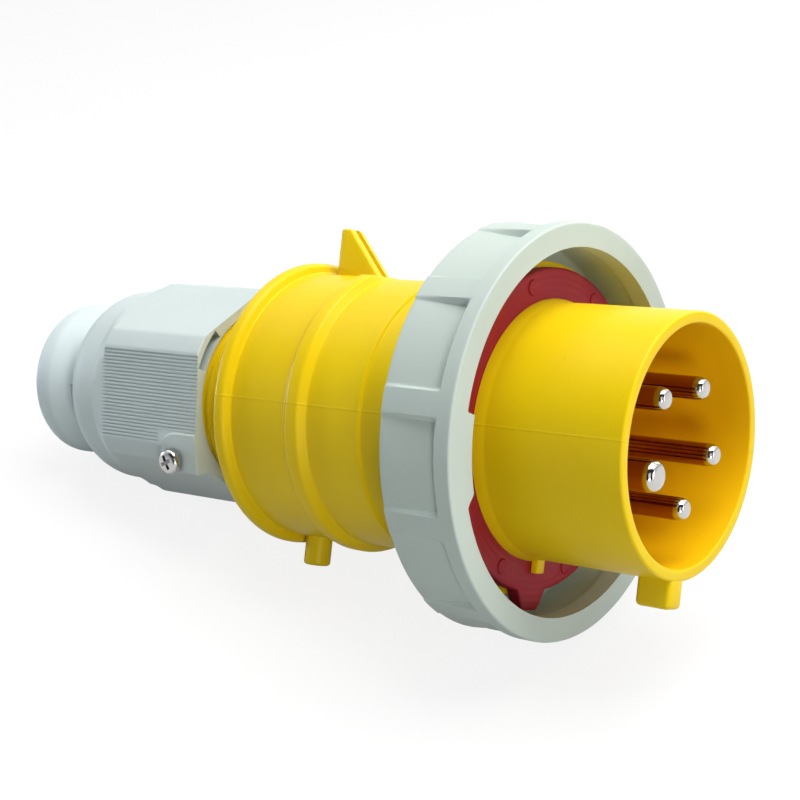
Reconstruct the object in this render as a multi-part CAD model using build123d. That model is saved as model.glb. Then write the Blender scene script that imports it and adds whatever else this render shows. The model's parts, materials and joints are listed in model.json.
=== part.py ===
from build123d import *
import os
from math import acos, atan2, cos, degrees, radians, sin

# A splash-proof pin-and-sleeve power plug, 16 A with three phases, neutral and earth, without its cable.
# Lengths are in millimetres. Each piece is modelled about the plug's own axis, which is X: X = 0 is the
# shroud's rim, +X points out of the shroud and the cable end is at negative X. Angles round the axis are
# in degrees, from +Y towards +Z, and the key is at 270. The last step lays the finished plug down.

# Shroud that surrounds the pins and pushes into the socket
shroud_radius = 28.25
shroud_wall = 2.55
rim_rounding = 0.9
cavity_depth = 38.5
cavity_rounding = 1.2
floor_thickness = 3.0
key_angle = 270
key_width = 5.5
key_length = 8.3
key_height = 5.85
key_rounding = 1.0
nub_length = 1.7
nub_width = 3.0
nub_height = 3.2
collar_height = 0.7
collar_length = 1.0
flange_width = 8.75
flange_thickness = 3.2
flange_rounding = 0.5
spigot_step = 0.15
spigot_wall = 2.5
spigot_length = 8.0
post_radius = 4.5
post_length = 8.0

# Contact pins
pin_count = 5
pin_circle_margin = 12.15
pin_radius = 2.5
earth_radius = 3.5
earth_angle = 210
pin_setback = 1.2
earth_setback = 0.3
pin_tip_rounding = 1.0
pin_neck_step = 0.6
pin_neck_margin = 0.3
terminal_step = 1.75
terminal_length = 17.0
terminal_rounding = 0.4
wire_hole_radius = 1.75
wire_hole_depth = 12.0
terminal_screw_radius = 2.0
terminal_screw_length = 6.5
terminal_screw_lift = 1.0
terminal_screw_setback = 12.5
screw_slot_width = 0.8
screw_slot_depth = 1.0

# Insulator that holds the pins, its cover and its screw
carrier_length = 18.5
cover_margin = 4.0
cover_thickness = 4.0
wire_guide_radius = 3.0
carrier_screw_radius = 2.0
carrier_screw_head = 3.8
carrier_screw_head_height = 2.2

# Face gasket between the plug and the socket
gasket_margin = 1.3
gasket_thickness = 3.0
gasket_rounding = 0.4
ear_angle = 270
ear_height = 4.2
ear_base_half_angle = 9.5
ear_tip_half_angle = 5.5
ear_rounding = 1.2
pip_count = 8
pip_circle_margin = 3.2
pip_radius = 1.75
pip_height = 0.35

# Locking ring
ring_wall = 5.4
ring_reach = 6.6
ring_length = 18.1
ring_flange_length = 3.6
ring_flange_slope = 1.6
ring_slope_rounding = 1.4
ring_panel_depth = 1.8
ring_panel_rear_depth = 0.4
ring_edge_rounding = 0.6
ring_mouth_gap = 0.5
ring_mouth_length = 4.4
ring_bore_step = 0.9
ring_web = 3.2
rib_count = 11
rib_first = 176.4
rib_crest = 5.0
rib_foot = 7.6
lug_start = 177.0
lug_sweep = 28.5
lug_slant = 6.0
lug_reach = 2.5
lug_thickness = 3.0

# Rear housing
journal_step = 2.0
shoulder_height = 3.2
shoulder_length = 3.0
step_setback = 17.3
step_height = 0.8
middle_bead_setback = 15.5
middle_bead_length = 7.6
middle_bead_height = 2.8
waist_height = 1.3
rear_bead_setback = 14.8
rear_bead_length = 5.1
rear_bead_height = 3.6
bead_rounding = 1.8
housing_wall = 2.4
end_wall = 3.2
neck_wall = 3.0
neck_length = 42.7
thread_depth = 1.1
throat_step = 4.4
throat_length = 4.0
throat_cone = 6.0
crown_lift = 0.6
crown_lead = 2.8
crown_tail = 2.6
fin_width = 5.0
fin_rise = 11.6
fin_overhang = -0.3
fin_top_length = 2.8
fin_length = 13.5
fin_rounding = 0.9
fin_groove_width = 1.8
fin_groove_depth = 1.4
peg_radius = 3.2
peg_lead = 4.6
peg_length = 8.2
peg_rounding = 0.7
seal_wire_radius = 0.65
seal_groove_depth = 1.3
seal_groove_width = 1.6
seal_groove_setback = 2.6

# Gland nut
nut_setback = 12.7
nut_half_flats = 24.5
nut_corner_height = 2.5
nut_wall = 2.5
nut_hexagon_length = 32.3
nut_cone_length = 4.5
nut_barrel_length = 3.7
nut_dome_length = 8.2
nut_rear_step = 1.5
nut_mouth_chamfer = 1.5
nut_facet_angle = 186
nut_end_wall = 5.2
nut_pocket_half_angle = 12
nut_pocket_depth_in = 1.6
nut_pocket_wall = 1.8
nut_pocket_depth = 9.0
grip_groove_count = 25
grip_groove_pitch = 0.88
grip_groove_width = 0.42
grip_groove_depth = 0.35
grip_margin = 2.0
boss_angle = 195
boss_low = 4.2
boss_high = 14.1
boss_rise = 1.45
boss_length = 11.9
boss_rounding = 4.8
boss_edge_rounding = 0.6
lock_screw_setback = 7.0
lock_screw_offset = 10.9
lock_screw_radius = 1.75
lock_screw_length = 5.5
lock_screw_head = 3.1
lock_screw_head_height = 2.2
lock_screw_head_rounding = 1.3
cross_width = 0.9
cross_length = 3.6
cross_depth = 1.3

# Clamp sleeve, washer and cable seal
sleeve_wall = 3.6
sleeve_nose_wall = 6.6
sleeve_nose_length = 4.0
sleeve_flange_height = 3.9
sleeve_flange_length = 3.4
bell_setback = 6.3
bell_flare_length = 4.8
bell_length = 5.2
bell_height = 3.75
bell_mouth_wall = 3.5
bell_lip_rounding = 2.6
bell_flare_rounding = 3.5
bell_mouth_rounding = 1.2
funnel_length = 8.0
funnel_rounding = 5.0
slot_start = 188
slot_sweep = 47
slot_setback = 0.7
slot_width = 2.2
washer_thickness = 1.5
washer_width = 6.4
seal_length = 12.5
seal_wall = 4.5
seal_ring_wall = 4.6
seal_insert_wall = 4.8
seal_lip = 1.0

# Clearances
running_clearance = 0.3
fit_clearance = 0.05

# Lying down: the roll that puts the peg, a corner of the nut and a rib of the ring on the ground
rest_roll = -25.6

# Places along the axis and radii that follow
pin_angles = [earth_angle + 360 / pin_count * step for step in range(pin_count)]
slot_angles = (slot_start, slot_start + 180)
lug_angles = (lug_start, lug_start + 180)
shroud_bore = shroud_radius - shroud_wall
pin_circle = shroud_bore - pin_circle_margin
spigot_radius = shroud_radius + spigot_step
flange_radius = shroud_radius + flange_width
gasket_radius = flange_radius - gasket_margin
pip_circle = gasket_radius - pip_circle_margin
ear_reach = gasket_radius + ear_height
ring_mouth_radius = ear_reach + ring_mouth_gap
ring_radius = ring_mouth_radius + ring_wall
journal_radius = spigot_radius + journal_step
shoulder_radius = journal_radius + shoulder_height
step_radius = journal_radius + step_height
middle_bead_radius = journal_radius + middle_bead_height
waist_radius = journal_radius + waist_height
rear_bead_radius = journal_radius + rear_bead_height
cover_radius = journal_radius - housing_wall - cover_margin
crown_height = journal_radius + crown_lift
fin_height = crown_height + fin_rise
peg_reach = journal_radius + peg_length
floor_front = -cavity_depth
floor_rear = floor_front - floor_thickness
pin_neck_front = floor_front + pin_neck_margin
collar_radius = shroud_radius + collar_height
gasket_front = floor_front + gasket_thickness
flange_rear = floor_front - flange_thickness
ring_front = gasket_front + ring_reach
ring_rear = ring_front - ring_length
web_front = ring_rear + ring_web
housing_front = web_front + running_clearance
step_at = ring_rear - step_setback
middle_bead_front = step_at - middle_bead_setback
middle_bead_rear = middle_bead_front - middle_bead_length
rear_bead_front = middle_bead_rear - rear_bead_setback
rear_bead_rear = rear_bead_front - rear_bead_length
crown_front = middle_bead_front + crown_lead
crown_rear = rear_bead_front + crown_tail
fin_rear = crown_rear - fin_overhang
fin_foot = fin_rear + fin_length
peg_at = rear_bead_front + peg_lead
nut_front = rear_bead_rear - nut_setback
nut_hexagon_end = nut_front - nut_hexagon_length
nut_cone_end = nut_hexagon_end - nut_cone_length
nut_dome_start = nut_cone_end - nut_barrel_length
nut_rear = nut_dome_start - nut_dome_length
nut_shoulder_at = nut_rear + nut_end_wall
grip_end = nut_hexagon_end + grip_margin
lock_screw_at = nut_front - lock_screw_setback
slot_front = nut_rear - slot_setback
slot_rear = slot_front - slot_width
bell_foot = nut_rear - bell_setback
bell_start = bell_foot - bell_flare_length
bell_rear = bell_start - bell_length
shoulder_front = ring_rear - running_clearance
spigot_bore = spigot_radius - spigot_wall
spigot_end = floor_rear - spigot_length
housing_inside = spigot_radius + fit_clearance
seal_groove_front = housing_front - seal_groove_setback
terminal_rear = floor_rear - terminal_length
terminal_screw_at = floor_rear - terminal_screw_setback
carrier_rear = floor_rear - carrier_length
cover_rear = carrier_rear - cover_thickness
neck_end = rear_bead_rear - neck_length
nut_corner_radius = nut_half_flats + nut_corner_height
nut_pocket_inner = nut_half_flats - nut_pocket_depth_in
nut_pocket_outer = nut_corner_radius - nut_pocket_wall
boss_height = nut_half_flats + boss_rise
neck_radius = nut_half_flats - nut_wall
thread_root = neck_radius - thread_depth
neck_bore = thread_root - neck_wall
seal_bore = thread_root - seal_wall
throat_radius = seal_bore - throat_step
washer_bore = seal_bore - washer_width
sleeve_radius = seal_bore - running_clearance
cable_radius = seal_bore - seal_ring_wall - seal_insert_wall
sleeve_bore = sleeve_radius - sleeve_wall
sleeve_nose_bore = sleeve_radius - sleeve_nose_wall
sleeve_flange_radius = sleeve_radius + sleeve_flange_height
bell_radius = sleeve_radius + bell_height
bell_mouth = bell_radius - bell_mouth_wall
nut_rear_radius = sleeve_radius + nut_rear_step
sleeve_nose = neck_end
washer_front = neck_end + washer_thickness
throat_rear = washer_front + seal_length
nut_bore = thread_root + fit_clearance
flange_bore = sleeve_flange_radius + fit_clearance
sleeve_flange_front = nut_shoulder_at + sleeve_flange_length


def section(*corners):
    """A flat outline of (x, radius) corners; a third value rounds that corner."""
    face = make_face(Polyline(*[corner[:2] for corner in corners], close=True))
    for corner in corners:
        if len(corner) == 3:
            vertex = face.vertices().sort_by_distance((corner[0], corner[1], 0))[0]
            face = fillet(vertex, corner[2])
    return face


def turned(*corners):
    """A solid turned about the plug's axis from its outline."""
    return revolve(section(*corners), Axis.X)


def tube(front, rear, outer, inner=0.0):
    """A plain tube or disc round the plug's axis."""
    return turned((front, inner), (front, outer), (rear, outer), (rear, inner))


def around(circle, angle, piece):
    """A piece moved from the plug's axis out to a circle, at an angle."""
    y = circle * cos(radians(angle))
    z = circle * sin(radians(angle))
    return Pos(0, y, z) * piece


def block(front, rear, low, high, side_low, side_high):
    """A box from its ends on the axis, its heights and its sides."""
    size = (front - rear, high - low, side_high - side_low)
    centre = ((front + rear) / 2, (low + high) / 2, (side_low + side_high) / 2)
    return Pos(*centre) * Box(*size)


def upright(x, low, high, radius, side=0.0):
    """A round bar that stands away from the axis, along +Y."""
    bar = Cylinder(radius, high - low, align=(Align.CENTER, Align.CENTER, Align.MIN))
    return Pos(x, low, side) * Rot(X=-90) * bar


def turn(angle, piece):
    """A piece modelled at angle 0, turned round the axis to its angle."""
    return Rot(X=angle) * piece


def prism(front, rear, corners):
    """A bar with one outline all along the axis, from (radius, angle) corners."""
    points = [(0, r * cos(radians(a)), r * sin(radians(a))) for r, a in corners]
    outline = make_face(Polyline(*points, close=True))
    return Pos(X=rear) * extrude(outline, front - rear, dir=(1, 0, 0))


def pin_size(angle):
    """The radius of the pin at this angle."""
    return earth_radius if angle == earth_angle else pin_radius


def plug_shroud():
    """Yellow moulding: sleeve round the pins, key, flange, floor and spigot."""
    body = turned(
        (floor_front, 0),
        (floor_front, shroud_bore, cavity_rounding),
        (0, shroud_bore, rim_rounding),
        (0, shroud_radius, rim_rounding),
        (gasket_front + collar_length, shroud_radius),
        (gasket_front + collar_length, collar_radius),
        (floor_front, collar_radius),
        (floor_front, flange_radius, flange_rounding),
        (flange_rear, flange_radius, flange_rounding),
        (flange_rear, shoulder_radius),
        (housing_front, shoulder_radius),
        (housing_front, spigot_radius),
        (spigot_end, spigot_radius),
        (spigot_end, spigot_bore),
        (floor_rear, spigot_bore),
        (floor_rear, post_radius),
        (floor_rear - post_length, post_radius),
        (floor_rear - post_length, 0),
    )
    foot = shroud_radius - shroud_wall / 2
    key_top = shroud_radius + key_height
    key = block(0, -key_length, foot, key_top, -key_width / 2, key_width / 2)
    key = fillet(key.faces().sort_by(Axis.Y)[-1].edges(), key_rounding)
    nub_front = gasket_front + nub_length
    nub = block(nub_front, gasket_front, foot, shroud_radius + nub_height, -nub_width / 2, nub_width / 2)
    body += turn(key_angle, key)
    body += turn(key_angle, nub)
    groove_rear = seal_groove_front - seal_groove_width
    body -= tube(seal_groove_front, groove_rear, spigot_radius + 1, spigot_radius - seal_groove_depth)
    for angle in pin_angles:
        hole = tube(floor_front + 1, floor_rear - 1, pin_size(angle) + fit_clearance)
        body -= around(pin_circle, angle, hole)
    body -= tube(floor_rear, floor_rear - post_length - 1, carrier_screw_radius)
    return body


def contact_pin(angle, setback):
    """A plated pin with its shoulder, wire hole and threaded side hole."""
    radius = pin_size(angle)
    neck = radius - pin_neck_step
    terminal = radius + terminal_step
    pin = turned(
        (-setback, 0),
        (-setback, radius, pin_tip_rounding),
        (pin_neck_front, radius),
        (pin_neck_front, neck),
        (floor_rear, neck),
        (floor_rear, terminal),
        (terminal_rear, terminal, terminal_rounding),
        (terminal_rear, 0),
    )
    pin -= tube(terminal_rear + wire_hole_depth, terminal_rear - 1, wire_hole_radius)
    pin -= turn(angle, upright(terminal_screw_at, 0, 2 * terminal, terminal_screw_radius))
    return around(pin_circle, angle, pin)


def terminal_screws():
    """Slotted screws that clamp the wires, one in each pin."""
    screws = []
    for angle in pin_angles:
        low = pin_circle + terminal_screw_lift
        high = low + terminal_screw_length
        screw = upright(terminal_screw_at, low, high, terminal_screw_radius)
        slot_end = terminal_screw_radius + 1
        screw -= block(
            terminal_screw_at + screw_slot_width / 2,
            terminal_screw_at - screw_slot_width / 2,
            high - screw_slot_depth,
            high + 1,
            -slot_end,
            slot_end,
        )
        screws.append(turn(angle, screw))
    return Compound(screws)


def contact_carrier():
    """Insulator with a chamber for each terminal."""
    body = tube(floor_rear, carrier_rear, spigot_bore - fit_clearance)
    body -= tube(floor_rear + 1, floor_rear - post_length - fit_clearance, post_radius + fit_clearance)
    body -= tube(floor_rear, carrier_rear - 1, carrier_screw_radius + fit_clearance)
    for angle in pin_angles:
        chamber = tube(floor_rear + 1, carrier_rear - 1, pin_size(angle) + terminal_step + fit_clearance)
        access = upright(terminal_screw_at, pin_circle, spigot_radius, terminal_screw_radius + fit_clearance)
        body -= around(pin_circle, angle, chamber)
        body -= turn(angle, access)
    return body


def carrier_cover():
    """Plate that keeps the terminals in their chambers and guides the wires."""
    body = tube(carrier_rear, cover_rear, cover_radius)
    body -= tube(carrier_rear + 1, cover_rear - 1, carrier_screw_radius + fit_clearance)
    head_seat = cover_rear + carrier_screw_head_height
    body -= tube(head_seat, cover_rear - 1, carrier_screw_head + fit_clearance)
    for angle in pin_angles:
        body -= around(pin_circle, angle, tube(carrier_rear + 1, cover_rear - 1, wire_guide_radius))
    return body


def carrier_screw():
    """Slotted screw through the cover and the insulator into the shroud's post."""
    head_seat = cover_rear + carrier_screw_head_height
    body = turned(
        (floor_rear, 0),
        (floor_rear, carrier_screw_radius),
        (head_seat, carrier_screw_radius),
        (head_seat, carrier_screw_head),
        (cover_rear, carrier_screw_head),
        (cover_rear, 0),
    )
    half = screw_slot_width / 2
    body -= block(cover_rear + screw_slot_depth, cover_rear - 1, -half, half, -spigot_bore, spigot_bore)
    return body


def face_gasket():
    """Red rubber gasket on the flange, with its ear and moulded pips."""
    body = turned(
        (floor_front, collar_radius + fit_clearance),
        (floor_front, gasket_radius),
        (gasket_front, gasket_radius, gasket_rounding),
        (gasket_front, collar_radius + fit_clearance),
    )
    wide = ear_base_half_angle
    narrow = ear_tip_half_angle
    ear = prism(gasket_front, floor_front, [
        (pip_circle, ear_angle - wide),
        (flange_radius, ear_angle - wide),
        (ear_reach, ear_angle - narrow),
        (ear_reach, ear_angle + narrow),
        (flange_radius, ear_angle + wide),
        (pip_circle, ear_angle + wide),
    ])
    tip_edges = ear.edges().filter_by(Axis.X).sort_by(Axis.Z)[:2]
    body += fillet(tip_edges, ear_rounding)
    for step in range(pip_count):
        pip = tube(gasket_front + pip_height, gasket_front - pip_height, pip_radius)
        body += around(pip_circle, (step + 0.5) * 360 / pip_count, pip)
    return body


def locking_ring():
    """Grey bayonet ring: ribbed outside, two lugs inside, a web that turns on the housing."""
    flange_end = ring_front - ring_flange_length
    slope_end = flange_end - ring_flange_slope
    panel_radius = ring_radius - ring_panel_depth
    bore = ring_mouth_radius + ring_bore_step
    web_bore = journal_radius + running_clearance
    mouth_end = ring_front - ring_mouth_length
    body = turned(
        (ring_front, ring_mouth_radius, ring_edge_rounding),
        (ring_front, ring_radius, ring_edge_rounding),
        (flange_end, ring_radius),
        (slope_end, panel_radius, ring_slope_rounding),
        (ring_rear, ring_radius - ring_panel_rear_depth, ring_edge_rounding / 2),
        (ring_rear, web_bore),
        (web_front, web_bore),
        (web_front, bore),
        (mouth_end, bore),
        (mouth_end, ring_mouth_radius),
    )
    outer_skin = tube(flange_end, ring_rear, ring_radius, bore + ring_edge_rounding)
    crest = degrees(rib_crest / 2 / ring_radius)
    foot = degrees(rib_foot / 2 / panel_radius)
    beyond = 2 * ring_radius - panel_radius
    for step in range(rib_count):
        middle = rib_first + step * 360 / rib_count
        rib = prism(flange_end, ring_rear, [
            (panel_radius - ring_edge_rounding, middle - foot),
            (panel_radius, middle - foot),
            (beyond, middle - 2 * crest + foot),
            (beyond, middle + 2 * crest - foot),
            (panel_radius, middle + foot),
            (panel_radius - ring_edge_rounding, middle + foot),
        ])
        body += rib & outer_skin
    lug_rear = ring_front - lug_thickness
    lug_foot = ring_mouth_radius + ring_edge_rounding
    lug_skin = tube(ring_front, lug_rear, lug_foot, ring_mouth_radius - lug_reach)
    inside = ring_mouth_radius - 2 * lug_reach
    outside = ring_mouth_radius + 2 * lug_reach
    for start in lug_angles:
        end = start + lug_sweep
        wedge = prism(ring_front, lug_rear, [
            (inside, start),
            (outside, start),
            (1.1 * outside, start + lug_sweep / 2),
            (outside, end + lug_slant / 2),
            (inside, end - lug_slant / 2),
        ])
        body += wedge & lug_skin
    return body


def housing_seal():
    """O-ring in the spigot's groove."""
    groove_middle = seal_groove_front - seal_groove_width / 2
    middle_radius = spigot_radius - seal_groove_depth / 2
    wire = Plane((groove_middle, middle_radius, 0)) * Circle(seal_wire_radius)
    return revolve(wire, Axis.X)


def fin():
    """Upright fin on the crown, with a groove down its sloping edge."""
    foot = crown_height - housing_wall / 2
    run = fin_foot - fin_rear - fin_top_length
    slope = atan2(fin_height - crown_height, run)
    top_front = fin_rear + fin_top_length
    outline = [
        (fin_rear, foot),
        (fin_rear, fin_height, fin_rounding),
        (top_front, fin_height, fin_rounding),
        (fin_foot, crown_height),
        (fin_foot, foot),
    ]
    face = section(*outline)
    body = extrude(face, fin_width / 2, both=True)
    shift = fin_groove_depth / sin(slope)
    groove_foot = fin_foot - shift
    groove_top = top_front - shift
    past = 2 * fin_height - crown_height
    run_past = 2 * groove_top - groove_foot
    cut = section(
        (groove_foot, crown_height),
        (run_past, past),
        (fin_foot + fin_width, past),
        (fin_foot + fin_width, crown_height),
    )
    body -= extrude(cut, fin_groove_width / 2, both=True)
    return body


def rear_housing():
    """Yellow moulding behind the ring, with its beads, fin, peg and threaded neck."""
    cone_front = throat_rear + throat_length + throat_cone
    end_wall_front = rear_bead_rear + end_wall
    inside = journal_radius - housing_wall
    body = turned(
        (housing_front, housing_inside),
        (housing_front, journal_radius),
        (shoulder_front, journal_radius),
        (shoulder_front, shoulder_radius),
        (shoulder_front - shoulder_length, shoulder_radius),
        (shoulder_front - shoulder_length, journal_radius),
        (step_at, journal_radius),
        (step_at, step_radius),
        (middle_bead_front, step_radius),
        (middle_bead_front, middle_bead_radius, bead_rounding),
        (middle_bead_rear, middle_bead_radius, bead_rounding * 0.8),
        (middle_bead_rear, waist_radius),
        (rear_bead_front, waist_radius),
        (rear_bead_front, rear_bead_radius, bead_rounding),
        (rear_bead_rear, rear_bead_radius, bead_rounding),
        (rear_bead_rear, thread_root),
        (neck_end, thread_root),
        (neck_end, seal_bore),
        (throat_rear, seal_bore),
        (throat_rear, throat_radius),
        (throat_rear + throat_length, throat_radius),
        (cone_front, neck_bore),
        (end_wall_front, neck_bore),
        (end_wall_front, inside, cavity_rounding),
        (spigot_end - running_clearance, inside),
        (spigot_end - running_clearance, housing_inside),
    )
    above = rear_bead_radius + 1
    body -= block(crown_front, crown_rear, crown_height, above, -above, above).rotate(Axis.X, 90)
    body += turn(90, fin())
    peg = upright(peg_at, journal_radius - housing_wall / 2, peg_reach, peg_radius)
    peg = fillet(peg.faces().sort_by(Axis.Y)[-1].edges(), peg_rounding)
    body += turn(key_angle, peg)
    return body


def gland_nut():
    """Grey hexagonal nut with a domed end, ribbed flats and the lock screw's boss."""
    dome_height = nut_half_flats - nut_rear_radius
    envelope_outline = [
        Line((nut_front, 0), (nut_front, nut_corner_radius)),
        Line((nut_front, nut_corner_radius), (nut_hexagon_end, nut_corner_radius)),
        Line((nut_hexagon_end, nut_corner_radius), (nut_cone_end, nut_half_flats)),
        Line((nut_cone_end, nut_half_flats), (nut_dome_start, nut_half_flats)),
        EllipticalCenterArc((nut_dome_start, nut_rear_radius), nut_dome_length, dome_height, 90, arc_size=90),
        Line((nut_rear, nut_rear_radius), (nut_rear, 0)),
        Line((nut_rear, 0), (nut_front, 0)),
    ]
    envelope = revolve(make_face(envelope_outline), Axis.X)
    corner_reach = nut_half_flats / cos(radians(30))
    corners = [(corner_reach, nut_facet_angle + 30 + 60 * step) for step in range(6)]
    body = envelope & prism(nut_front, nut_rear, corners)
    boss = block(nut_front, nut_front - boss_length, nut_bore / 2, boss_height, boss_low, boss_high)
    rear_edges = boss.edges().filter_by(Axis.Y).group_by(Axis.X)[0]
    boss = fillet(rear_edges, boss_rounding)
    boss = fillet(boss.faces().sort_by(Axis.Y)[-1].edges(), boss_edge_rounding)
    body += turn(boss_angle, boss)
    body -= turned(
        (nut_front + 1, 0),
        (nut_front + 1, nut_bore + nut_mouth_chamfer + 1),
        (nut_front - nut_mouth_chamfer, nut_bore),
        (sleeve_nose - fit_clearance, nut_bore),
        (sleeve_nose - fit_clearance, flange_bore),
        (nut_shoulder_at, flange_bore),
        (nut_shoulder_at, sleeve_radius + running_clearance),
        (nut_rear - 1, sleeve_radius + running_clearance),
        (nut_rear - 1, 0),
    )
    lean = radians(boss_angle - nut_facet_angle)
    boss_edge = boss_height * sin(lean) + boss_low * cos(lean)
    first_groove = -(grip_groove_count - 1) / 2 * grip_groove_pitch
    grooves = []
    for facet in (0, 120, 240):
        for step in range(grip_groove_count):
            side = first_groove + step * grip_groove_pitch
            if facet == 0 and side + grip_groove_pitch > boss_edge:
                groove_front = nut_front - boss_length - grip_groove_pitch
            else:
                groove_front = nut_front + 1
            groove = block(
                groove_front,
                grip_end,
                nut_half_flats - grip_groove_depth,
                nut_half_flats + grip_groove_depth,
                side - grip_groove_width / 2,
                side + grip_groove_width / 2,
            )
            grooves.append(turn(nut_facet_angle + facet, groove))
    body -= grooves
    for step in range(1, 6):
        middle = nut_facet_angle + 30 + 60 * step
        outline = section(
            (nut_front + 1, nut_pocket_inner),
            (nut_front + 1, nut_pocket_outer),
            (nut_front - nut_pocket_depth, nut_pocket_outer),
            (nut_front - nut_pocket_depth, nut_pocket_inner),
        )
        pocket = revolve(outline, Axis.X, 2 * nut_pocket_half_angle)
        body -= turn(middle - nut_pocket_half_angle, pocket)
    hole = upright(
        lock_screw_at,
        boss_height - lock_screw_length,
        boss_height + 1,
        lock_screw_radius,
        lock_screw_offset,
    )
    body -= turn(boss_angle, hole)
    return body


def gland_lock_screw():
    """Cross-head screw that stops the nut from working loose."""
    x = lock_screw_at
    side = lock_screw_offset
    top = boss_height + lock_screw_head_height
    shank = upright(x, boss_height - lock_screw_length, boss_height, lock_screw_radius, side)
    head = upright(x, boss_height, top, lock_screw_head, side)
    head = fillet(head.faces().sort_by(Axis.Y)[-1].edges(), lock_screw_head_rounding)
    body = shank + head
    long = cross_length / 2
    short = cross_width / 2
    low = top - cross_depth
    body -= block(x + long, x - long, low, top + 1, side - short, side + short)
    body -= block(x + short, x - short, low, top + 1, side - long, side + long)
    return turn(boss_angle, body)


def clamp_sleeve():
    """Grey sleeve that presses the cable seal and flares to a bell for the cable."""
    funnel_foot = bell_rear + funnel_length
    body = turned(
        (sleeve_nose, sleeve_nose_bore),
        (sleeve_nose, sleeve_radius),
        (sleeve_flange_front, sleeve_radius),
        (sleeve_flange_front, sleeve_flange_radius),
        (nut_shoulder_at, sleeve_flange_radius),
        (nut_shoulder_at, sleeve_radius),
        (bell_foot, sleeve_radius, bell_flare_rounding),
        (bell_start, bell_radius, bell_flare_rounding),
        (bell_rear, bell_radius, bell_lip_rounding),
        (bell_rear, bell_mouth, bell_mouth_rounding),
        (funnel_foot, sleeve_bore, funnel_rounding),
        (sleeve_nose - sleeve_nose_length, sleeve_bore),
        (sleeve_nose - sleeve_nose_length, sleeve_nose_bore),
    )
    for start in slot_angles:
        outline = section(
            (slot_front, sleeve_bore - 1),
            (slot_front, sleeve_radius + 1),
            (slot_rear, sleeve_radius + 1),
            (slot_rear, sleeve_bore - 1),
        )
        body -= turn(start, revolve(outline, Axis.X, slot_sweep))
    return body


def thrust_washer():
    """Washer between the turning sleeve and the rubber seal."""
    return tube(washer_front, neck_end, seal_bore - fit_clearance, washer_bore)


def seal_ring():
    """Outer rubber ring of the cable seal, in the neck."""
    inner = seal_bore - seal_ring_wall
    return tube(throat_rear, washer_front, seal_bore - fit_clearance, inner)


def seal_insert():
    """Inner rubber ring, which comes out for a thicker cable."""
    outer = seal_bore - seal_ring_wall - fit_clearance
    return turned(
        (throat_rear, cable_radius + seal_lip),
        (throat_rear, outer),
        (washer_front, outer),
        (washer_front, cable_radius + seal_lip),
        (washer_front + seal_lip, cable_radius),
        (throat_rear - seal_lip, cable_radius),
    )


pieces = {
    "plug_shroud": plug_shroud(),
    "contact_carrier": contact_carrier(),
    "carrier_cover": carrier_cover(),
    "carrier_screw": carrier_screw(),
    "terminal_screws": terminal_screws(),
    "face_gasket": face_gasket(),
    "locking_ring": locking_ring(),
    "housing_seal": housing_seal(),
    "rear_housing": rear_housing(),
    "gland_nut": gland_nut(),
    "gland_lock_screw": gland_lock_screw(),
    "clamp_sleeve": clamp_sleeve(),
    "thrust_washer": thrust_washer(),
    "seal_ring": seal_ring(),
    "seal_insert": seal_insert(),
    "earth_pin": contact_pin(earth_angle, earth_setback),
}
for number, angle in enumerate(pin_angles[1:], start=1):
    pieces[f"contact_pin_{number}"] = contact_pin(angle, pin_setback)

# Nose up: a rib's rear corner and the rear end of the nut's corner touch the ground
down = ear_angle - rest_roll
rib_pitch = 360 / rib_count
rib_corner = min(abs((rib_first + step * rib_pitch - down + 180) % 360 - 180) for step in range(rib_count))
rib_height = ring_radius * cos(radians(rib_corner) - rib_crest / 2 / ring_radius)
nut_corner_half = 30 - degrees(acos(nut_half_flats / nut_corner_radius))
nut_corner_angle = nut_facet_angle + 90 + nut_corner_half
nut_height = nut_corner_radius * cos(radians(nut_corner_angle - down))
rest_pitch = degrees(atan2(rib_height - nut_height, ring_rear - nut_hexagon_end))
laid = Rot(Y=-rest_pitch) * Rot(X=rest_roll)
pieces = {name: laid * piece for name, piece in pieces.items()}
boxes = [piece.bounding_box() for piece in pieces.values()]
middle_x = (min(box.min.X for box in boxes) + max(box.max.X for box in boxes)) / 2
middle_y = (min(box.min.Y for box in boxes) + max(box.max.Y for box in boxes)) / 2
settle = Pos(-middle_x, -middle_y, -min(box.min.Z for box in boxes))

os.makedirs("parts", exist_ok=True)
for name, piece in pieces.items():
    export_step(settle * piece, f"parts/{name}.step")
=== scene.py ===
# %% [markdown]
# # A splash-proof power plug, dressed for the camera
# The construction of the plug comes as a fixed frame of named nodes: sleeve, pins, ring, housing, nut and
# so on. This notebook keeps their places and sizes and gives each visible piece its moulded edges, its
# threads and ribs, and its finish. Lengths are in millimetres in the plug's own frame until a piece is
# finished, because round numbers are easier to read than fractions of a metre.

import json
from math import cos, pi, radians, sin, tan

import bmesh
import bpy
from mathutils import Matrix, Vector


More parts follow.
